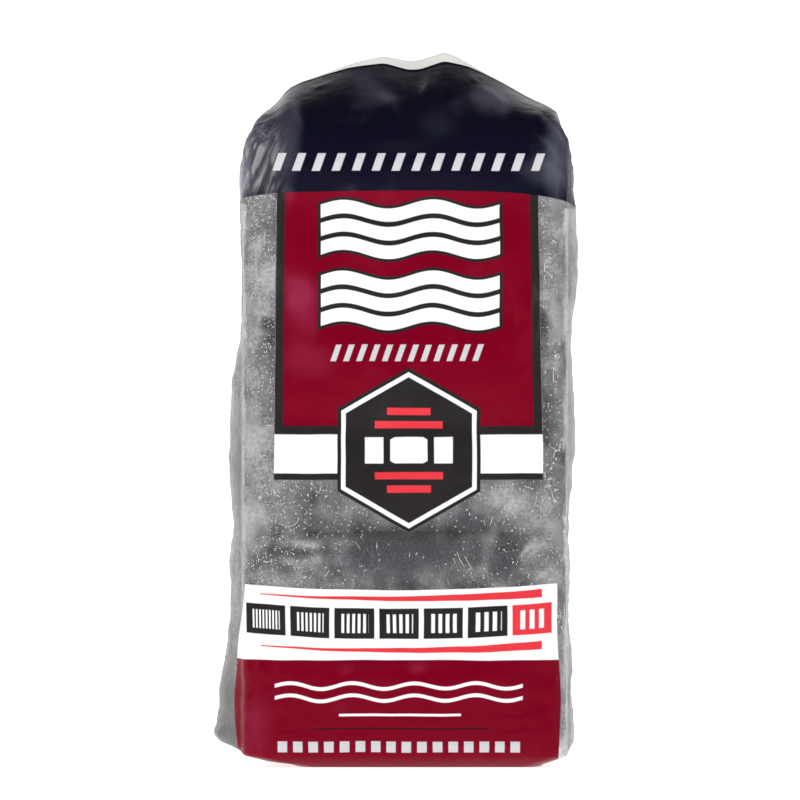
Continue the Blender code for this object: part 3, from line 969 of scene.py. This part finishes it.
def motif_layers(nodes, x, z, inks):
    """Dashes, bundles of strands and rules."""
    layers = [(dashes(nodes, x, z, row), DASH_COLOUR) for row in PALE_DASHES]
    for bundle in STRANDS:
        strand, outline = strands(nodes, x, z, bundle)
        layers += [(outline, inks["charcoal"]), (strand, inks["white"])]
    layers.append((strands(nodes, x, z, THIN_STRAND)[0], inks["white"]))
    layers.append((bar(nodes, x, z, *WHITE_RULE), inks["white"]))
    layers.append((bar(nodes, x, z, *DARK_RULE), DARK_RULE_COLOUR))
    return layers


def grade_layers(nodes, x, hung, strip, inks):
    """The strip's blocks and wedges."""
    block, last, lines = grade_blocks(nodes, x, hung)
    block_colour = nodes.blend(last, inks["charcoal"], inks["red"])
    layers = [(nodes.both(strip, block), block_colour), (nodes.both(strip, block, lines), inks["white"])]
    return layers + [(nodes.both(strip, wedge(nodes, x, hung, centre)), inks["red"]) for centre in WEDGES]


def film_alpha(nodes, vector, depth, ink, seal):
    """Ink is solid. Clear film is veiled, and the lobes of bare film beside the wool are greyer and more
    solid, a painted shade of the bag's dark inside.
    """
    grain = nodes.step(nodes.noise(vector, 700.0, 2.0, 0.6), 0.35, 0.65, 0.36, 0.56)
    thin = nodes.times_plus(nodes.attribute("veil"), grain, 0.045)
    lobe = nodes.both(nodes.attribute("lobe"), nodes.step(depth, 0.024, 0.036, 0.76, 1.0))
    alpha = nodes.either(nodes.times_plus(lobe, 0.60, thin, clamp=True), ink)
    return nodes.largest(alpha, nodes.times(seal, 0.95))


def film_material():
    nodes = Nodes("printed film")
    vector, (x, y, z) = nodes.position()
    front = nodes.step(y, -0.012, -0.018)
    wobble = nodes.times_plus(nodes.noise(vector, 45.0, 1.0), 0.8, -0.4)
    x = nodes.times_plus(x, 1000.0, wobble)
    z = nodes.times_plus(z, 1000.0, wobble)
    inks = make_inks(nodes, x, y, z)

    droop = nodes.times(nodes.maths("POWER", nodes.size_of(x), 4.0), HEADER_DROOP)
    header = nodes.above(nodes.plus(z, droop), HEADER_FOOT)
    seal = nodes.step(nodes.attribute("fin"), 0.45, 0.55)
    strip, footer, hung = strip_masks(nodes, x, z, front)
    grounds = panel_layers(nodes, x, z, front, inks)
    grounds += [(strip, inks["white"]), (footer, inks["crimson"]), (header, inks["navy"])]
    layers = grounds + [(seal, FIN_COLOUR)]
    layers += [(nodes.both(front, mask), ink) for mask, ink in motif_layers(nodes, x, z, inks)]
    field, edge, bars, plate = (nodes.both(front, mask) for mask in badge(nodes, x, z))
    layers += [(field, inks["charcoal"]), (edge, inks["white"])]
    layers += [(bars, inks["red"]), (plate, inks["white"])]
    layers += grade_layers(nodes, x, hung, strip, inks)

    # The lobes of bare film beside the wool are painted grey, a painted shade.
    colour = nodes.blend(nodes.attribute("lobe"), CLEAR_COLOUR, LOBE_SHADE_COLOUR)
    for mask, ink in layers:
        colour = nodes.blend(mask, colour, ink)
    printed = nodes.either(*(mask for mask, _ in grounds), field)
    alpha = film_alpha(nodes, vector, nodes.size_of(y), printed, seal)
    ripple = nodes.noise(nodes.stretch(vector, (1.0, 1.0, 0.5)), 150.0, 2.0, 0.6)
    nodes.bump(ripple, 0.2, 0.0005)
    # The header keeps its own colour up to the right edge, where a gloss would turn it pale.
    dull = nodes.both(header, nodes.step(x, 66.0, 70.0))
    gloss = nodes.step(dull, 0.0, 1.0, 0.5, 0.05)
    return nodes.finish(colour, 0.27, Alpha=alpha, IOR=1.13, Specular_IOR_Level=gloss)


# The wool.


def middle_and_half(low, high):
    return (low + high) / 2, (high - low) / 2


def squarish(angle, half_depth, half_height):
    """How far a roll's skin is from its axis, at an angle round it."""
    flat = (np.abs(np.cos(angle)) / half_depth) ** SQUARENESS
    tall = (np.abs(np.sin(angle)) / half_height) ** SQUARENESS
    return (flat + tall) ** (-1 / SQUARENESS)


def round_axis(middle, x, angle, radius):
    """Points at places along a roll's axis, angles round it and distances from it."""
    return np.stack(
        [middle[0] + x, middle[1] + radius * np.cos(angle), middle[2] + radius * np.sin(angle)], 2
    )


def drawn_in(x, angle, half_width, outward):
    """How far a roll narrows near its ends, as a share. Outward is -1 on the lowest rolls, whose
    lower corners are rounder, 1 on the top ones, whose upper corners are, and 0 between."""
    rounder = ease(outward * np.sin(angle), 0.0, 0.6)
    rounding = mix(*END_ROUNDING, rounder)
    share = mix(*END_SHARE, rounder)
    over = np.clip((np.abs(x) - (half_width - rounding)) / rounding, 0, 1)
    return 1 - (1 - share) * (1 - np.sqrt(1 - over**2))


REACH_HEIGHTS = np.linspace(0.0, BODY_TOP, 240)
REACHES = {side: [side_reach(z, side) for z in REACH_HEIGHTS] for side in (-1, 1)}


def inside_film(points, gap=0.0009):
    """The points, moved sideways where they need it to lie inside the film's outline."""
    x, y, z = np.moveaxis(points, -1, 0)
    left = x < PADS_MIDDLE
    reach = np.where(left, *(np.interp(z, REACH_HEIGHTS, REACHES[side]) for side in (-1, 1)))
    edge = np.minimum(HALF_WIDTH, reach)
    inner = HALF_DEPTH - CORNER_RADIUS
    past = np.clip(np.abs(y) - inner, 0, CORNER_RADIUS)
    corner = edge - CORNER_RADIUS + np.sqrt(CORNER_RADIUS**2 - past**2)
    bulge = mix(edge, reach, 1 - np.clip(np.abs(y) / inner, 0, 1) ** 2)
    limit = np.where(past > 0, corner, bulge)
    shoulders = np.where(
        left, PADS_MIDDLE - shoulder(z, LEFT_SHOULDER), shoulder(z, RIGHT_SHOULDER) - PADS_MIDDLE
    )
    limit = np.where(z > BODY_TOP, np.minimum(limit, shoulders), limit) - gap
    x = PADS_MIDDLE + np.where(left, -1, 1) * np.minimum(np.abs(x - PADS_MIDDLE), limit)
    return np.stack([x, y, z], -1)


def behind_film(points, film_tree, gap=0.0005):
    """The points, moved back where they need it to lie behind the film's front."""
    moved = points.reshape(-1, 3).copy()
    for k in np.flatnonzero(moved[:, 1] < 0.008 - HALF_DEPTH):
        x, y, z = moved[k]
        film = film_tree.ray_cast(Vector((x, -0.2, z)), Vector((0, 1, 0)))[0]
        moved[k, 1] = max(y, film.y + gap)
    return moved.reshape(points.shape)


def tube_points(paths, radii):
    """Three-sided closed tubes along many paths: (strands, points, 3) and a radius for each."""
    strands, steps, _ = paths.shape
    tangents = np.gradient(paths, axis=1)
    tangents /= np.maximum(np.linalg.norm(tangents, axis=2, keepdims=True), 1e-12)
    helper = np.where(np.abs(tangents[..., 1:2]) < 0.9, [[[0.0, 1.0, 0.0]]], [[[1.0, 0.0, 0.0]]])
    first = np.cross(tangents, helper)
    first /= np.linalg.norm(first, axis=2, keepdims=True)
    second = np.cross(tangents, first)
    taper = np.sin(np.linspace(0.12, math.pi - 0.12, steps)) ** 0.4
    rings = []
    for corner in range(3):
        angle = 2 * math.pi * corner / 3
        offset = math.cos(angle) * first + math.sin(angle) * second
        rings.append(paths + offset * (radii[:, None] * taper)[..., None])
    points = np.stack(rings, 2)
    base = (np.arange(strands * steps) * 3).reshape(strands, steps)
    quads = []
    for corner in range(3):
        after = (corner + 1) % 3
        low, high = base[:, :-1].ravel(), base[:, 1:].ravel()
        quads.append(np.stack([low + corner, low + after, high + after, high + corner], 1))
    return points.reshape(-1, 3), np.concatenate(quads)


def strand_paths(rng, count, low, high, outward, steps, gather, shortest, longest, curling):
    """Loose curled fibres lying in the skin of one roll, mostly running round it. With gather below
    1 more of them lie near its ends."""
    middle, half = middle_and_half(low, high)
    start_x = rng.uniform(-1, 1, count)
    start_x = np.sign(start_x) * np.abs(start_x) ** gather * half[0]
    start_angle = rng.uniform(0, 2 * math.pi, count)
    length = rng.uniform(shortest, longest, count)
    heading = rng.normal(0.0, 0.45, count)
    curl = rng.normal(0.0, curling, count)
    depth = np.abs(rng.normal(0.0, 0.0009, count)) - 0.0002
    t = np.linspace(-0.5, 0.5, steps)
    turn = heading[:, None] + curl[:, None] * t
    step = length[:, None] / (steps - 1)
    x = start_x[:, None] + np.cumsum(np.sin(turn) * step, 1)
    mean = (half[1] + half[2]) / 2
    angle = start_angle[:, None] + np.cumsum(np.cos(turn) * step, 1) / mean
    arch = rng.normal(0.0, 0.0006, count)[:, None] * (1 - 4 * t * t)
    radius = squarish(angle, half[1], half[2]) - np.maximum(depth[:, None] + arch, -STRANDS_PROUD)
    x = np.clip(x, -half[0], half[0])
    radius *= drawn_in(x, angle, half[0], outward)
    return round_axis(middle, x, angle, radius)


def end_paths(rng, count, low, high, steps=6):
    """Fibres that follow the turns of the roll on its two ends."""
    middle, half = middle_and_half(low, high)
    side = rng.choice([-1.0, 1.0], count)
    start = rng.uniform(0, 2 * math.pi, count)
    share = np.sqrt(rng.uniform(0.01, 1.0, count)) * 0.72
    length = rng.uniform(0.005, 0.018, count)
    t = np.linspace(-0.5, 0.5, steps)
    angle = start[:, None] + t * (length / (share * half[1] + 0.003))[:, None]
    radius = squarish(angle, half[1], half[2]) * (share[:, None] + 0.05 * t)
    stand = rng.normal(-0.0006, 0.0006, count)[:, None] + rng.normal(0, 0.0008, count)[:, None] * t
    return round_axis(middle, side[:, None] * (half[0] + stand), angle, radius)


def short_lines(rng, middles, spread, shortest, longest, steps):
    """Straight fibres about some points, where along them their own points are, and their lengths."""
    heading = rng.normal(0, 1, middles.shape) * spread
    heading /= np.linalg.norm(heading, axis=1, keepdims=True)
    length = rng.uniform(shortest, longest, len(middles))[:, None, None]
    t = np.linspace(-0.5, 0.5, steps)[None, :, None]
    return middles[:, None] + heading[:, None] * t * length, t, length


def stray_paths(rng, count, low, high, steps=5):
    """Loose fibres between the roll's ends and the film."""
    middle, half = middle_and_half(low, high)
    side = rng.choice([-1.0, 1.0], count)
    height = rng.uniform(low[2] + 0.004, high[2] - 0.004, count)
    film = np.where(side < 0, *(np.interp(height, REACH_HEIGHTS, REACHES[one]) for one in (-1, 1)))
    near = middle[0] - PADS_MIDDLE + half[0] - 0.001
    far = film - 0.0025
    out = near + (far - near) * rng.uniform(0, 1, count) ** 1.6
    depth = rng.uniform(low[1] + 0.012, high[1] - 0.012, count)
    start = np.stack([PADS_MIDDLE + side * out, depth, height], 1)
    lines, t, length = short_lines(rng, start, (0.25, 0.6, 1.0), 0.0006, 0.004, steps)
    return lines + rng.normal(0, 0.25, (count, 1, 3)) * t * t * length


def loose_bits(rng, count, low, high, film_tree):
    """Short bits of fibre that lie against the inside of the film's front."""
    side = np.where(rng.uniform(0, 1, count) < 0.72, -1, 1)
    x = PADS_MIDDLE + side * rng.uniform(0, 1, count) ** 0.45 * (HALF_WIDTH - 0.001)
    z = rng.uniform(max(low[2], BASE_ROUNDING), min(high[2], BODY_TOP), count)
    starts = []
    for place in zip(x, z):
        point, normal, _, _ = film_tree.ray_cast(Vector((place[0], -0.2, place[1])), Vector((0, 1, 0)))
        starts.append(point - normal * rng.uniform(0.0006, 0.0014))
    return short_lines(rng, np.array(starts), (1.0, 0.15, 1.0), 0.0002, 0.0009, 3)[0]


def roll_body(low, high, outward, around=72, along=36, ends=10):
    """The dense inside of a roll: a closed squarish body with spiral grooves on its ends."""
    middle, half = middle_and_half(low, high)
    half = half - np.array((0.0008, 0.0008, 0.0001))
    angle = np.linspace(0, 2 * math.pi, around, endpoint=False)
    outline = squarish(angle, half[1], half[2])
    rings = []
    for x in half[0] * np.sin(np.linspace(-math.pi / 2, math.pi / 2, along)):
        rings.append((np.full(around, x), drawn_in(x, angle, half[0], outward)))
    last = rings[-1][1]
    for share in np.linspace(0.95, 0.02, ends):
        turn = share * half[1] / 0.0044 + angle / (2 * math.pi)
        groove = 0.0011 * np.abs(np.sin(math.pi * turn))
        rings.append((half[0] - groove, share * last))
        rings.insert(0, (groove - half[0], share * last))
    points = np.array(
        [np.stack([x, s * outline * np.cos(angle), s * outline * np.sin(angle)], 1) for x, s in rings]
    )
    lumps = fractal(points * 1000, 0.22, 4, 8)
    outward_way = points * np.array((0.0, 1.0, 1.0))
    outward_way /= np.maximum(np.linalg.norm(outward_way, axis=2, keepdims=True), 1e-9)
    points += outward_way * (0.0006 * lumps)[..., None]
    points[0, :, 1] = points[-1, :, 1] = 0.0
    return inside_film(points.reshape(-1, 3) + middle), grid_quads(len(points), around)


def wool_material():
    nodes = Nodes("steel wool")
    vector, _ = nodes.position()
    grain = nodes.noise(nodes.stretch(vector, (1.6, 1.0, 0.7)), 1100.0, 2.0, 0.7)
    clumps = nodes.noise(vector, 60.0, 4.0, 0.6)
    shade = nodes.both(nodes.step(grain, 0.40, 0.68), nodes.step(clumps, 0.35, 0.65, 0.3, 1.0))
    colour = nodes.blend(shade, (0.016, 0.0135, 0.020), (0.130, 0.121, 0.140))
    return nodes.finish(colour, 0.6, Metallic=0.1)


def strand_material(name, dark, light, metallic, roughness):
    nodes = Nodes(name)
    vector, _ = nodes.position()
    tone = nodes.noise(vector, 260.0, 1.0)
    colour = nodes.blend(nodes.step(tone, 0.35, 0.65), dark, light)
    return nodes.finish(colour, roughness, Metallic=metallic)


def roll_fibres(rng, low, high, outward, front, film_tree):
    """All the fibres of one roll: their paths, radii and place among its materials."""
    groups = []
    for kind, (on_front, on_back, *shape, thin, thick) in FIBRES.items():
        count = on_front if front else on_back
        paths = strand_paths(rng, count, low, high, outward, *shape)
        groups.append((paths, rng.uniform(thin, thick, count), DULL if kind == "steel strands" else GLINT_WHITE))
    count, thin, thick = END_FIBRES
    groups.append((end_paths(rng, count, low, high), rng.uniform(thin, thick, count), DULL))
    count, thin, thick = STRAYS
    groups.append((stray_paths(rng, count, low, high), rng.uniform(thin, thick, count), GLINT_WHITE))
    if front:
        count, thin, thick = LOOSE_BITS
        paths = loose_bits(rng, count, low, high, film_tree)
        groups.append((paths, rng.uniform(thin, thick, count), GLINT_WHITE))
    return groups


def make_wool(film):
    rng = np.random.default_rng(STRAND_SEED)
    film_tree = search_tree([film])
    materials = [
        wool_material(),
        strand_material("steel strands", (0.060, 0.054, 0.069), (0.33, 0.32, 0.345), 0.5, 0.35),
        # White fibres standing in for glints of light on the steel: painted glints.
        strand_material("white glint paint", (0.98, 0.98, 0.97), (1.0, 1.0, 1.0), 0.0, 0.4),
    ]
    for name in sorted(CAD_PADS):
        low, high = (np.array(corner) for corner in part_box(name))
        outward = {"1": -1, "6": 1}.get(name.split("_")[2], 0)
        points, quads = roll_body(low, high, outward)
        points = behind_film(points, film_tree)
        slots = np.zeros(len(quads), np.int32)
        for paths, radii, slot in roll_fibres(rng, low, high, outward, "front" in name, film_tree):
            tube, tube_quads = tube_points(behind_film(inside_film(paths), film_tree), radii)
            quads = np.concatenate([quads, tube_quads + len(points)])
            points = np.concatenate([points, tube])
            slots = np.concatenate([slots, np.full(len(tube_quads), slot, np.int32)])
        mesh = mesh_from(name, points, quads)
        mesh.polygons.foreach_set("material_index", slots)
        for material in materials:
            mesh.materials.append(material)
        pad = new_object(f"{name}_fibres", mesh)
        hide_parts(name)


bpy.context.scene.view_settings.view_transform = "Standard"
make_camera()
make_lights()
make_floor()
make_wool(make_film())
